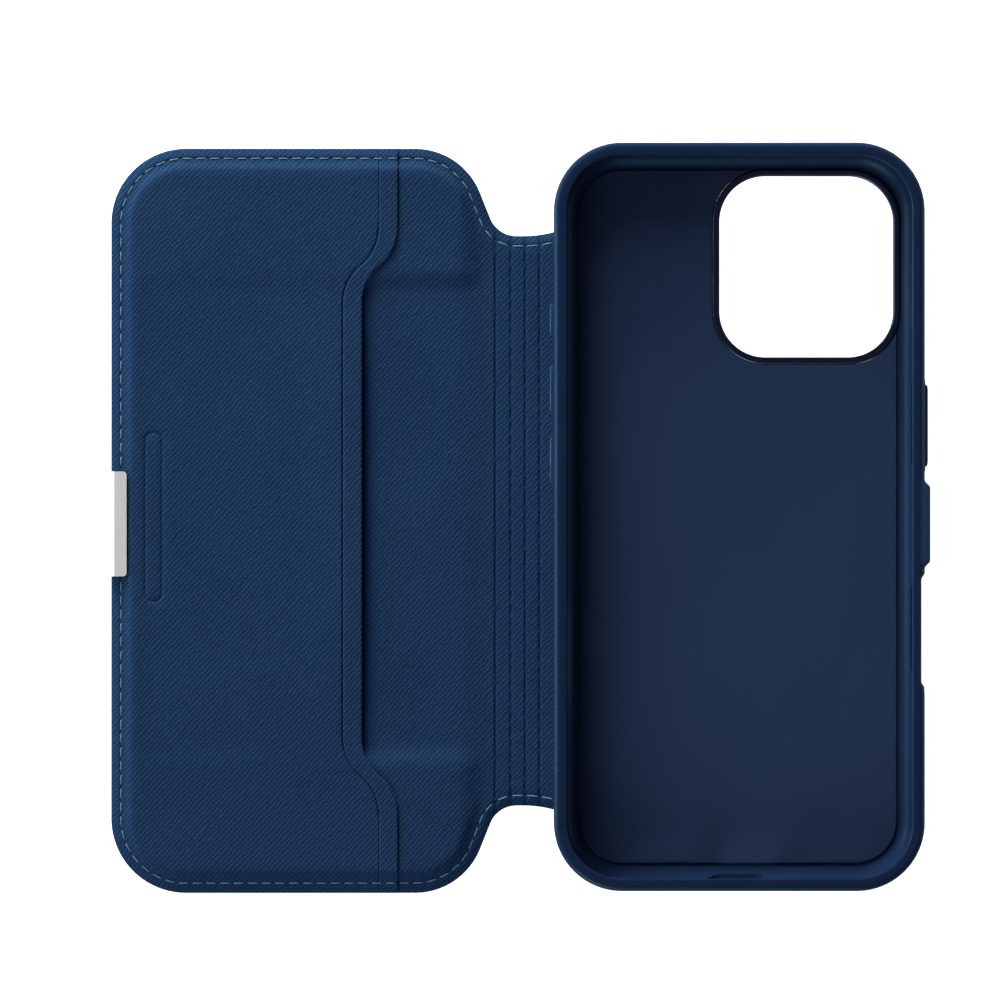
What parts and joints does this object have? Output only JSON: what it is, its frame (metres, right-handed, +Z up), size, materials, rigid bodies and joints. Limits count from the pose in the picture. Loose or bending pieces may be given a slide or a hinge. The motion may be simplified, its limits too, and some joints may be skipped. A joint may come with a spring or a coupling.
{
  "type": "phone wallet case",
  "caption": "Folding leather phone case lying open: a soft phone tray with side buttons, a creased spine and a cover with a card pocket and a magnetic clasp.",
  "frame": {"origin": "centre of the tray's back face, on the surface that the open case rests on", "axes": "+X from the cover across the spine to the tray, +Y towards the top of the phone, +Z up through the tray's open side"},
  "size_m": [0.1691, 0.155, 0.0104],
  "materials": {
    "leather": "fine diagonal grain, satin",
    "thread": "waxed thread",
    "soft_shell": "matte soft moulding",
    "button": "satin",
    "plate": "matte",
    "microfibre": "short nap",
    "camera_ring": "anodised, fine matte",
    "clasp_metal": "satin",
    "magnet": "plated",
    "board": "pressed fibre",
    "foam": "closed-cell foam"
  },
  "bodies": {
    "tray": {"back_leather": "leather", "back_plate": "plate", "bumper": "soft_shell", "microfibre_lining": "microfibre", "camera_ring": "camera_ring", "catch_magnet": "magnet", "spine_tuck": "leather"},
    "action_button": {"action_button": "button"},
    "volume_up_button": {"volume_up_button": "button"},
    "volume_down_button": {"volume_down_button": "button"},
    "side_button": {"side_button": "button"},
    "rib_1": {"rib_1_outer_leather": "leather", "rib_1_inner_leather": "leather", "rib_1_thread": "thread"},
    "rib_2": {"rib_2_outer_leather": "leather", "rib_2_inner_leather": "leather", "rib_2_thread": "thread"},
    "rib_3": {"rib_3_outer_leather": "leather", "rib_3_inner_leather": "leather", "rib_3_thread": "thread"},
    "rib_4": {"rib_4_outer_leather": "leather", "rib_4_inner_leather": "leather", "rib_4_thread": "thread"},
    "cover": {"cover_outer_leather": "leather", "cover_board": "board", "cover_foam": "foam", "cover_inner_leather": "leather", "pocket_panel": "leather", "pocket_hem": "leather", "cover_thread": "thread", "clasp_plate": "clasp_metal", "clasp_magnet_upper": "magnet", "clasp_magnet_lower": "magnet"}
  },
  "joints": [
    {"name": "spine_lift", "type": "hinge", "parent": "tray", "child": "rib_1", "pos_m": [-0.0369, -0.00085, 0.00055], "axis": [0, 1, 0], "range_deg": [0, 50]},
    {"name": "rib_2_fold", "type": "hinge", "parent": "rib_1", "child": "rib_2", "pos_m": [-0.041, -0.00085, 0.00055], "axis": [0, 1, 0], "range_deg": [-27.7, 20]},
    {"name": "rib_3_fold", "type": "hinge", "parent": "rib_2", "child": "rib_3", "pos_m": [-0.04397, -0.00085, 0.00055], "axis": [0, 1, 0], "range_deg": [-27.7, 20]},
    {"name": "rib_4_fold", "type": "hinge", "parent": "rib_3", "child": "rib_4", "pos_m": [-0.04696, -0.00085, 0.00055], "axis": [0, 1, 0], "range_deg": [-13.9, 10]},
    {"name": "cover_fold", "type": "hinge", "parent": "rib_4", "child": "cover", "pos_m": [-0.05016, -0.00085, 0.00055], "axis": [0, 1, 0], "range_deg": [-110.8, 80]},
    {"name": "action_press", "type": "slide", "parent": "tray", "child": "action_button", "axis": [1, 0, 0], "range_m": [0, 0.0004], "stiffness_N_per_m": 4000},
    {"name": "volume_up_press", "type": "slide", "parent": "tray", "child": "volume_up_button", "axis": [1, 0, 0], "range_m": [0, 0.0004], "stiffness_N_per_m": 4000},
    {"name": "volume_down_press", "type": "slide", "parent": "tray", "child": "volume_down_button", "axis": [1, 0, 0], "range_m": [0, 0.0004], "stiffness_N_per_m": 4000},
    {"name": "side_press", "type": "slide", "parent": "tray", "child": "side_button", "axis": [-1, 0, 0], "range_m": [0, 0.0004], "stiffness_N_per_m": 4000}
  ]
}
